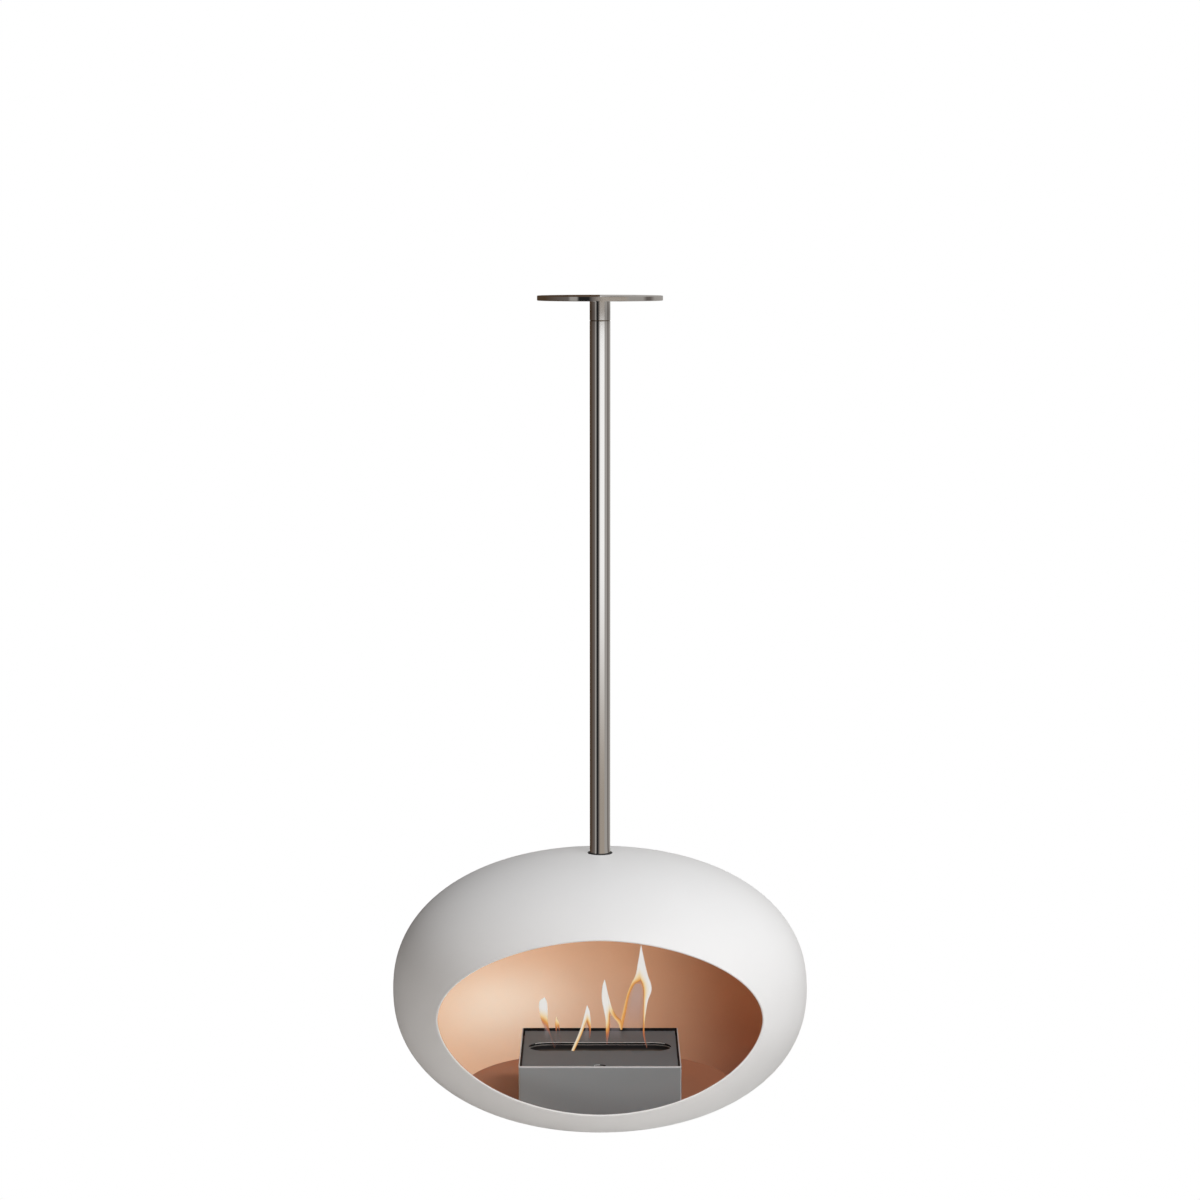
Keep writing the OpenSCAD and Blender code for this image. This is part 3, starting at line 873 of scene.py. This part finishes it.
    def white_shell(self) -> bpy.types.Object:
        """The outer shell with the painted lip.

        From the back pole the surface runs forward over the outside, round the lip, a short hem
        on the inside over the liner's edge, and back along the shell's hidden inner face.

        Returns:
            The closed piece.
        """
        points, normals = self.rows_from(2.0 * self.edge_round, self.rows)
        outside = points[::-1]
        band = self.lip(self.wall)
        hem_points, hem_normals = self.rows_from(self.hem, 1)
        hem = hem_points - hem_normals * self.wall
        back, back_normals = self.rows_from(self.hem + self.seam, self.hidden_rows)
        hidden = back - back_normals * self.shell
        rings = np.concatenate([outside, band, hem, hidden]) + [0.0, 0.0, self.middle]
        pole = np.array([0.0, self.half_width, self.middle])
        return closed_skin("bowl_shell", rings, pole, pole - [0.0, self.shell, 0.0])

    def copper_liner(self) -> bpy.types.Object:
        """The liner: its copper-toned face and, just under the shell, its hidden back.

        Returns:
            The closed piece.
        """
        start = self.hem + self.seam + self.overlap
        face, face_normals = self.rows_from(start, self.rows)
        back, back_normals = self.rows_from(start, self.hidden_rows)
        shown = (face - face_normals * self.wall)[::-1]
        depth = self.shell + self.air
        rings = np.concatenate([shown, back - back_normals * depth]) + [0.0, 0.0, self.middle]
        inner, outer = (np.array([0.0, self.half_width - d, self.middle]) for d in (self.wall, depth))
        return closed_skin("bowl_liner", rings, inner, outer)

    def build(self) -> None:
        """Makes the shell and the liner and finishes what hangs in the bowl."""
        self.shop.dress_piece(self.white_shell(), Slot.WHITE_PAINT, "bowl", "outer_shell")
        self.shop.dress_piece(self.copper_liner(), Slot.COPPER_PAINT, "bowl", "inner_liner")
        self.shop.dress_nodes(Slot.HEARTH_PAINT, "hearth_floor")
        self.shop.dress_nodes(Slot.MACHINED_STEEL, "backing_disc")
        self.shop.dress_nodes(Slot.ZINC_STEEL, "hanger_washer", "hanger_nut", "hanger_locknut")
        self.shop.dress_nodes(Slot.BLACK_RUBBER, "foot_gasket")


# ---------- pole and ceiling mount ----------


@dataclass
class Pole:
    """The swivelling pole with the bearing parts inside it."""

    shop: Workshop

    def build(self) -> None:
        """Makes the pole and finishes the swivel's parts."""
        tube = round_bar("pole", "pole_tube", bays=12, broken_top=True)
        self.shop.dress_piece(tube, Slot.BRUSHED_STAINLESS, "bowl", "pole_tube")
        self.shop.dress_nodes(Slot.MACHINED_STEEL, "swivel_housing", "pole_foot_plug")
        self.shop.dress_nodes(Slot.BEARING_STEEL, "bearing_upper_race", "bearing_balls")
        self.shop.dress_nodes(Slot.BRONZE, "upper_bush", "lower_bush", "bearing_cage")
        self.shop.dress_nodes(Slot.ZINC_STEEL, "housing_screws")


@dataclass
class CeilingMount:
    """The ceiling plate, its neck and what is fixed to them."""

    shop: Workshop

    def build(self) -> None:
        """Makes the neck and finishes the plate and the shaft with its nuts."""
        neck = round_bar("neck", "plate_neck", bays=2, broken_top=False)
        self.shop.dress_piece(neck, Slot.BRUSHED_STAINLESS, "ceiling_mount", "plate_neck")
        self.shop.dress_nodes(Slot.BRUSHED_STAINLESS, "ceiling_plate")
        self.shop.dress_nodes(Slot.MACHINED_STEEL, "pivot_shaft")
        self.shop.dress_nodes(Slot.BEARING_STEEL, "bearing_lower_race")
        self.shop.dress_nodes(Slot.BRONZE, "seam_washer")
        self.shop.dress_nodes(Slot.ZINC_STEEL, "neck_grub_screw", "pivot_nut", "pivot_locknut")


# ---------- the burner ----------


@dataclass
class Burner:
    """The burner box with its cover, tank and wool."""

    shop: Workshop

    def build(self) -> None:
        """Finishes the burner's parts."""
        self.shop.dress_nodes(Slot.BURNER_PAINT, "burner_casing", "cover_ledges")
        self.shop.dress_nodes(Slot.COVER_PAINT, "cover_plate")
        self.shop.dress_nodes(Slot.BLACK_RUBBER, "burner_feet")
        self.shop.dress_nodes(Slot.ZINC_STEEL, "tank_rests")
        self.shop.dress_nodes(Slot.TANK_STEEL, "fuel_tank")
        self.shop.dress_nodes(Slot.CERAMIC_FIBRE, "wick_block")


@dataclass(frozen=True)
class Tongue:
    """One tongue of flame between two edges, in millimetres from the middle and above the rim.

    Each row from root to tip is (x and height of the outer edge, x and height of the inner
    edge). `outer` and `inner` are (heat of the edge at its root, height at which it starts to
    grow hotter, height at which it is at `full`). A high bend keeps the outer edge's heat
    nearly to the inner edge. A haze has its cover in place of the heat.
    """

    name: str
    bend: float
    outer: Triple
    inner: Triple
    rows: tuple[tuple[float, float, float, float], ...]
    full: float = 1.0
    haze: bool = False


TONGUES = (
    Tongue("flame_1", 0.8, (0.15, 15.0, 60.0), (0.1, 30.0, 65.0), (
        (-74.5, -6.5, -75.5, -6.5), (-81.5, 17.0, -84.0, 16.5), (-83.5, 25.5, -91.0, 25.5),
        (-85.5, 39.0, -97.0, 39.5), (-86.0, 54.5, -100.5, 56.5), (-87.0, 70.0, -100.5, 71.0),
        (-91.0, 78.5, -93.0, 78.0),
    )),
    Tongue("flame_2_left", 1.0, (0.08, 15.0, 42.0), (0.05, 20.0, 48.0), (
        (-73.0, -4.0, -74.5, -4.0), (-71.5, 21.0, -74.0, 21.0), (-69.5, 36.0, -74.0, 35.0),
        (-71.5, 46.0, -72.5, 46.0),
    ), full=0.75),
    Tongue("flame_2_right", 1.0, (0.08, 18.0, 42.0), (0.05, 22.0, 46.0), (
        (-63.5, 2.0, -65.5, 2.0), (-66.5, 27.0, -69.5, 27.0), (-68.0, 36.5, -71.0, 35.5),
        (-70.0, 41.5, -71.5, 41.0),
    ), full=0.75),
    Tongue("flame_3_left", 1.5, (0.85, 0.0, 45.0), (0.35, 34.0, 56.0), (
        (-47.5, -10.5, -42.5, -11.5), (-36.5, 15.5, -30.5, 15.0), (-31.0, 30.5, -25.0, 30.0),
        (-26.5, 47.5, -20.0, 46.0), (-23.0, 60.5, -20.0, 60.0), (-21.5, 65.5, -21.0, 65.5),
    )),
    Tongue("flame_3_right", 1.0, (0.15, 12.0, 50.0), (0.15, 35.0, 56.0), (
        (-16.0, 10.5, -18.0, 10.5), (-15.0, 24.0, -18.5, 25.0), (-15.0, 37.5, -22.0, 36.0),
        (-16.5, 52.5, -24.0, 51.0), (-18.0, 58.5, -23.0, 57.5), (-21.0, 65.5, -21.5, 65.5),
    )),
    Tongue("flame_4_left", 2.0, (0.1, 0.0, 55.0), (0.2, 45.0, 72.0), (
        (10.0, 0.0, 12.0, 0.0), (9.5, 22.5, 16.0, 22.5), (9.0, 41.0, 16.5, 41.0),
        (6.0, 57.0, 16.5, 59.5), (2.5, 76.0, 14.5, 78.0), (3.5, 95.5, 11.0, 96.5),
        (7.0, 108.5, 8.0, 108.5),
    )),
    Tongue("flame_4_right", 1.2, (0.65, 45.0, 80.0), (0.3, 46.0, 75.0), (
        (34.0, 24.5, 35.5, 24.5), (31.5, 30.5, 37.5, 30.5), (28.5, 37.0, 37.0, 39.0),
        (20.5, 47.0, 28.0, 47.5), (14.0, 59.5, 20.0, 61.5), (10.5, 77.0, 15.0, 78.5),
        (7.5, 103.0, 8.5, 103.0),
    )),
    Tongue("flame_5_left", 0.8, (0.6, 95.0, 125.0), (0.35, 104.0, 132.0), (
        (34.5, 24.5, 36.5, 24.5), (32.5, 34.0, 39.0, 34.0), (36.5, 51.5, 42.5, 51.5),
        (44.0, 83.5, 49.0, 83.5), (51.5, 102.5, 57.5, 101.0), (58.5, 117.5, 68.5, 109.5),
        (62.5, 138.5, 71.0, 135.0), (67.5, 166.5, 68.0, 166.5),
    )),
    Tongue("flame_5_right", 2.5, (0.15, 0.0, 75.0), (0.25, 105.0, 130.0), (
        (78.0, -6.0, 77.0, -6.0), (74.0, 16.5, 71.0, 15.5), (74.0, 37.5, 71.0, 37.5),
        (78.5, 70.0, 71.5, 70.0), (85.0, 89.0, 71.0, 89.5), (84.5, 101.5, 68.5, 102.0),
        (78.5, 119.0, 63.5, 116.5), (71.0, 151.5, 65.0, 151.5), (68.0, 166.5, 67.5, 166.5),
    )),
    Tongue("haze_1", 1.0, (0.0, 7.0, 20.0), (0.0, 7.0, 20.0), (
        (-84.0, 7.0, -91.5, 7.0), (-84.0, 21.0, -92.5, 21.0), (-86.0, 27.5, -92.5, 27.5),
    ), full=0.1, haze=True),
    Tongue("haze_3", 1.0, (0.0, 0.0, 25.0), (0.0, 0.0, 25.0), (
        (-17.5, 0.0, -31.5, 0.0), (-18.0, 20.5, -26.5, 20.5), (-20.0, 29.0, -23.0, 29.0),
    ), full=0.14, haze=True),
    Tongue("haze_4", 1.0, (0.0, 3.0, 30.0), (0.0, 3.0, 30.0), (
        (38.0, 3.5, 10.0, 3.5), (34.5, 27.5, 15.0, 27.5), (28.0, 39.0, 15.5, 39.0),
        (21.5, 47.5, 16.5, 47.5),
    ), full=0.15, haze=True),
    Tongue("haze_5", 1.0, (0.0, 3.0, 90.0), (0.0, 3.0, 90.0), (
        (74.5, 3.5, 36.5, 3.5), (72.5, 37.5, 39.5, 37.5), (72.5, 74.5, 46.0, 74.5),
        (72.5, 89.5, 50.5, 89.5), (68.5, 100.5, 56.0, 100.5),
    ), full=0.24, haze=True),
)


@dataclass
class Flames:
    """The flames over the slot, as thin closed tongues that stand in the slot's middle plane."""

    plane_y: float = -0.047
    flatness: float = 0.35
    rows: int = 56
    columns: int = 24

    def spread(self, path: np.ndarray) -> np.ndarray:
        """Even rows along a path.

        The points are joined by a Catmull-Rom curve: between two points the place is the cubic
        whose slope at each is half the step between its neighbours.

        Args:
            path: rows of numbers, root first.

        Returns:
            The curve's numbers at self.rows places.
        """
        ends = np.vstack([2 * path[0] - path[1], path, 2 * path[-1] - path[-2]])
        at = np.linspace(0.0, len(path) - 1.0, self.rows)
        k = np.minimum(at.astype(int), len(path) - 2)
        s = (at - k)[:, None]
        p0, p1, p2, p3 = (ends[k + j] for j in range(4))
        square, cube = 2 * p0 - 5 * p1 + 4 * p2 - p3, 3 * p1 - p0 - 3 * p2 + p3
        return 0.5 * (2 * p1 + (p2 - p0) * s + square * s**2 + cube * s**3)

    @staticmethod
    def heat(height: np.ndarray, root: float, start: float, end: float, full: float) -> np.ndarray:
        """Heat along an edge: root + (full - root) s^2 (3 - 2 s), s being 0 at start and 1 at end."""
        s = np.clip((height - start) / (end - start), 0.0, 1.0)
        return root + (full - root) * s**2 * (3.0 - 2.0 * s)

    def tongue(self, spec: Tongue) -> bpy.types.Object:
        """One closed tongue.

        At each row a flat ellipse joins the outer edge O to the inner edge I: its points are
        (O + I) / 2 + (O - I) / 2 cos t in the upright plane, and |O - I| / 2 sin t times the
        flatness in front of it. Across it the heat goes from the outer to the inner one by the
        share u^bend, with u = (1 - cos t) / 2.

        Args:
            spec: the tongue.

        Returns:
            The piece, with u and the heat in its UV map.
        """
        line = self.spread(np.array(spec.rows))
        rim = np.array([0.0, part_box("burner_casing")[1].z])
        outer, inner = line[:, 0:2] * MM + rim, line[:, 2:4] * MM + rim
        middle, half = (outer + inner) / 2.0, (outer - inner) / 2.0
        t = np.linspace(0.0, 2.0 * math.pi, self.columns, endpoint=False)
        place = middle[:, None, :] + half[:, None, :] * np.cos(t)[:, None]
        depth = self.plane_y + np.linalg.norm(half, axis=1)[:, None] * np.sin(t) * self.flatness
        u = np.broadcast_to((1.0 - np.cos(t)) / 2.0, depth.shape)
        at_outer = self.heat(line[:, 1:2], *spec.outer, spec.full)
        at_inner = self.heat(line[:, 3:4], *spec.inner, spec.full)
        heat = at_outer + (at_inner - at_outer) * u**spec.bend
        rings = np.stack([place[..., 0], depth, place[..., 1]], axis=-1)
        tips = [np.array([middle[k, 0], self.plane_y, middle[k, 1]]) for k in (0, -1)]
        return closed_skin(spec.name, rings, tips[0], tips[1], np.stack([u, heat], axis=-1))

    def build(self) -> None:
        """Makes the tongues and the haze; they ride on the burner."""
        glow = Flame("flame_glow", (1.0, 0.9, 0.7), 1.0).material()
        haze = Haze("flame_haze", (0.42, 0.36, 0.37), 1.0).material()
        for spec in TONGUES:
            piece = self.tongue(spec)
            piece.data.materials.append(haze if spec.haze else glow)
            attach(piece, "burner")
            log.info("piece %s, %d faces", piece.name, len(piece.data.polygons))


# ---------- the studio ----------


@dataclass(frozen=True)
class Lamp:
    """A soft area lamp that looks at the bowl from a bearing and a height angle."""

    name: str
    bearing: float
    rise: float
    distance: float
    size: float
    watts: float
    colour: Colour = (1.0, 1.0, 1.0)
    into: tuple[str, ...] = ()
    past: tuple[str, ...] = ()
    matt: bool = True
    gloss: bool = False

    def hang(self, target: Vector) -> bpy.types.Object:
        """Hangs the lamp.

        A lamp with names in `into` lights only those objects, as light that comes in through
        the mouth, and without shadows unless `past` has names. Its light is taken from the
        lamp's side alone, since rays from the paint would stop at the bowl. Where `past` has
        names, only those objects shade the lamp. `matt` and `gloss` say whether it lights
        paint and whether it is mirrored.

        Args:
            target: the point that it looks at.

        Returns:
            The lamp's object.
        """
        light = bpy.data.lights.new(self.name, "AREA")
        light.shape = "DISK"
        light.size = self.size
        light.energy = self.watts
        light.color = self.colour
        lamp = bpy.data.objects.new(self.name, light)
        a, e = math.radians(self.bearing), math.radians(self.rise)
        way = Vector((math.sin(a) * math.cos(e), -math.cos(a) * math.cos(e), math.sin(e)))
        lamp.location = target + way * self.distance
        lamp.rotation_euler = way.to_track_quat("Z", "Y").to_euler()
        lamp.visible_camera = False
        lamp.visible_diffuse = self.matt
        lamp.visible_glossy = self.gloss
        bpy.context.scene.collection.objects.link(lamp)
        if self.into:
            light.use_shadow = bool(self.past)
            light.cycles.use_multiple_importance_sampling = False
            lamp.light_linking.receiver_collection = self.group("lit", self.into)
        if self.past:
            lamp.light_linking.blocker_collection = self.group("shading", self.past)
        return lamp

    def group(self, use: str, names: tuple[str, ...]) -> bpy.types.Collection:
        """A collection of pieces or nodes by their names."""
        made = bpy.data.collections.new(f"{self.name}_{use}")
        for name in names:
            made.objects.link(bpy.data.objects.get(name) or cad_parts[name])
        return made


# Objects that the lamps below name in `past` and `into`.
SHELLS = ("bowl_shell", "bowl_liner", "burner_casing", "cover_plate", "ceiling_plate")
LINER = ("bowl_liner",)
BURNER = ("burner_casing", "cover_plate", "cover_ledges", "fuel_tank", "wick_block")


class Card(Enum):
    """What hangs round the room for shiny surfaces to mirror."""

    BROWN = (0.08, 0.05, 0.03)
    BLACK = (0.02, 0.02, 0.02)
    DIM = (0.16, 0.14, 0.13)
    GREY = (0.40, 0.38, 0.36)
    TAN = (0.40, 0.35, 0.30)
    SOFT_BOX = (1.1, 1.1, 1.1)


@dataclass
class Studio:
    """Camera, pale floor, white room and lamps.

    The cards stand round the object by their bearings in degrees, 0 at -Y and more towards +X,
    and one tone turns evenly into the next. `steep` and the `band` pairs are heights of a ray's
    direction, at which soft steps start and end.
    """

    eye: Triple = (0.0, -5.3035, 0.0748)
    tilt: float = 0.10756
    lens: float = 97.44
    floor_z: float = -2.3
    floor_radius: float = 9.0
    floor_white: tuple[float, float] = (1.4, 2.6)
    sides: int = 96
    card_gap: float = 0.0002
    room: float = 0.18
    steep: tuple[float, float] = (0.09, 0.17)
    band_foot: tuple[float, float] = (-0.0225, -0.0211)
    band_fade: tuple[float, float] = (-0.0190, -0.0155)
    band_top: tuple[float, float] = (0.02, 0.06)
    cards: tuple[tuple[float, Card], ...] = (
        (-180.0, Card.BROWN), (-120.0, Card.BROWN), (-60.0, Card.DIM), (-55.0, Card.GREY),
        (-43.0, Card.GREY), (-39.0, Card.BLACK), (-20.0, Card.BLACK), (-14.0, Card.DIM),
        (5.0, Card.SOFT_BOX), (48.0, Card.SOFT_BOX), (55.0, Card.GREY), (85.0, Card.GREY),
        (95.0, Card.DIM), (105.0, Card.DIM), (120.0, Card.GREY), (180.0, Card.GREY),
    )
    lamps: tuple[Lamp, ...] = (
        Lamp("high_right", 60.0, 60.0, 3.0, 1.2, 48.0, past=SHELLS),
        Lamp("front_right", 30.0, 34.0, 3.0, 1.2, 17.0),
        Lamp("low_right", 60.0, -14.0, 3.0, 1.2, 19.5, (1.0, 0.97, 0.94)),
        Lamp("low_left", -30.0, -6.0, 3.0, 1.2, 17.8, (1.0, 0.91, 0.83)),
        Lamp("back_light", 180.0, -6.0, 3.0, 1.2, 26.0),
        Lamp("hearth_light", 60.0, 10.0, 3.0, 1.2, 185.0, (0.71, 0.91, 1.0), into=LINER),
        Lamp("hearth_sheen", 60.0, 35.0, 3.0, 3.0, 140.0, (0.62, 0.92, 1.0), LINER,
             matt=False, gloss=True),
        Lamp("hearth_edge_sheen", 80.0, 35.0, 3.0, 3.0, 140.0, (0.0, 0.68, 1.0), LINER,
             matt=False, gloss=True),
        Lamp("floor_light", 90.0, 60.0, 0.6, 0.35, 3.8, into=("hearth_floor",),
             past=("burner_casing",)),
        Lamp("burner_light", 30.0, 50.0, 3.0, 1.2, 60.0, into=BURNER, gloss=True),
    )

    def camera(self) -> None:
        """Sets the camera at the photograph's place, looking a little down."""
        data = bpy.data.cameras.new("camera")
        data.lens = self.lens
        data.clip_end = 100.0
        camera = bpy.data.objects.new("camera", data)
        camera.location = self.eye
        camera.rotation_euler = (math.pi / 2.0 - self.tilt, 0.0, 0.0)
        bpy.context.scene.collection.objects.link(camera)
        bpy.context.scene.camera = camera

    def ring(self, board: Board, way: Wire, box: Card) -> Wire:
        """The cards by the bearing of a direction.

        The ramp is read at the bearing in turns, which is 0.5 at -Y and more towards +X.

        Args:
            board: the node tree.
            way: the direction.
            box: what shows in the soft box's place.

        Returns:
            The tone.
        """
        x, y, _ = board.split(way)
        turn = board.maths("ARCTAN2", x, y * -1.0) / (2.0 * math.pi) + 0.5
        shown = [(bearing, box if card is Card.SOFT_BOX else card) for bearing, card in self.cards]
        return board.ramp(turn, [(0.5 + bearing / 360.0, card.value) for bearing, card in shown])

    def world(self) -> None:
        """White to the camera, plain grey to matt surfaces, and the cards to gloss.

        The soft box hangs over the floor's edge: rays that go steeply down, and those in a
        narrow band at the horizon, see a tan wall in its place, and the band is duller towards
        its lower edge.
        """
        world = bpy.data.worlds.new("studio")
        world.use_nodes = True
        bpy.context.scene.world = world
        board = Board(world.node_tree)
        way = board.node("ShaderNodeTexCoord")
        height = board.split(way)[2]
        low = self.ring(board, way, Card.TAN)
        down = board.step(height * -1.0, *self.steep)
        upper = board.blend(down, self.ring(board, way, Card.SOFT_BOX), low)
        near = board.step(height, *self.band_foot) * (1.0 - board.step(height, *self.band_top))
        fading = board.step(height, *self.band_fade) * 0.4 + 0.6
        dulled = board.node("ShaderNodeVectorMath", {"operation": "SCALE"}, {0: low, "Scale": fading})
        tone = board.blend(near, upper, dulled)
        path = board.node("ShaderNodeLightPath")
        seen = board.blend(path, (self.room,) * 3, (1.0, 1.0, 1.0))
        shown = board.blend(path.other("Is Glossy Ray"), seen, tone)
        glow = board.node("ShaderNodeBackground", None, {"Color": shown, "Strength": 1.0})
        board.node("ShaderNodeOutputWorld", None, {"Surface": glow})

    def stage_piece(self, name: str, points: np.ndarray, faces: list) -> tuple[bpy.types.Object, Board]:
        """A flat piece of the stage.

        Args:
            name: name of the piece and of its material.
            points: corners, any shape by 3.
            faces: lists of corner numbers.

        Returns:
            The piece and its material's empty node tree.
        """
        mesh = bpy.data.meshes.new(name)
        mesh.from_pydata(points.reshape(-1, 3).tolist(), [], faces)
        piece = bpy.data.objects.new(name, mesh)
        bpy.context.scene.collection.objects.link(piece)
        paint, board = blank_material(name)
        mesh.materials.append(paint)
        return piece, board

    @staticmethod
    def show_upper_side(board: Board, shader: Wire) -> None:
        """Ends a material that shows a shader on the faces' fronts and is clear from behind."""
        under = board.node("ShaderNodeNewGeometry").other("Backfacing")
        both = board.mix(under, shader, board.node("ShaderNodeBsdfTransparent"))
        board.node("ShaderNodeOutputMaterial", None, {"Surface": both})

    def circle(self, radii: np.ndarray, height: float) -> np.ndarray:
        """Level circles round the axis: (r cos t, r sin t, height), radii by sides by 3."""
        t = np.linspace(0.0, 2.0 * math.pi, self.sides, endpoint=False)
        r = radii[:, None]
        return np.stack(np.broadcast_arrays(r * np.cos(t), r * np.sin(t), height), axis=-1)

    def foot_card(self) -> None:
        """A ring just over the bowl's top that only mirrors see, and only from above.

        It shows the low cards by the bearing round a line half the pole's radius behind its
        front, where the cards' images lie in the round mirror, so that they go down to its foot.
        """
        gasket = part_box("foot_gasket")[1]
        radii = np.array([gasket.x + 2.0 * self.card_gap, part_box("outer_shell")[1].x])
        points = self.circle(radii, gasket.z - self.card_gap)
        faces = ring_faces(2, self.sides)[:, ::-1].tolist()
        piece, board = self.stage_piece("foot_card", points, faces)
        behind = (0.0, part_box("pole_tube")[1].x / 2.0, 0.0)
        tone = self.ring(board, board.vector("ADD", board.place(), behind), Card.TAN)
        self.show_upper_side(board, board.node("ShaderNodeEmission", None, {"Color": tone}))
        for kind in ("camera", "diffuse", "transmission", "volume_scatter", "shadow"):
            setattr(piece, f"visible_{kind}", False)

    def floor(self) -> None:
        """A pale round floor under the object.

        Camera rays see its lit colour lifted to white where nothing shades it, and plain white
        far from the object. From below it is clear, so that the bowl can be seen through it.
        """
        points = self.circle(np.array([self.floor_radius]), self.floor_z)
        piece, board = self.stage_piece("floor", points, [list(range(self.sides))])

        def grey(kind: str, tone: float) -> Wire:
            """A shader of one grey."""
            return board.node(kind, None, {"Color": (tone, tone, tone, 1.0)})

        lit = board.node("ShaderNodeBsdfDiffuse", None, {"Color": (0.86, 0.86, 0.85, 1.0)})
        dim, lift = grey("ShaderNodeBsdfDiffuse", 0.45), grey("ShaderNodeEmission", 0.78)
        near = board.node("ShaderNodeAddShader", None, {0: dim, 1: lift})
        away = board.vector("LENGTH", board.place((1.0, 1.0, 0.0))).other("Value")
        far = board.step(away, *self.floor_white)
        shown = board.mix(far, near, grey("ShaderNodeEmission", 1.0))
        self.show_upper_side(board, board.mix(board.node("ShaderNodeLightPath"), lit, shown))
        piece.visible_glossy = False

    def build(self) -> None:
        """Makes the studio."""
        bpy.context.scene.view_settings.view_transform = "Standard"
        self.camera()
        self.world()
        self.floor()
        self.foot_card()
        low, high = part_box("outer_shell")
        for lamp in self.lamps:
            lamp.hang((low + high) / 2.0)
            log.info("lamp %s", lamp.name)


def main() -> None:
    """Builds the object and the studio."""
    logging.basicConfig(level=logging.INFO, format="%(name)s: %(message)s")
    shop = Workshop()
    CeilingMount(shop).build()
    Pole(shop).build()
    Bowl(shop).build()
    Burner(shop).build()
    Flames().build()
    Studio().build()


if __name__ == "__main__":
    main()
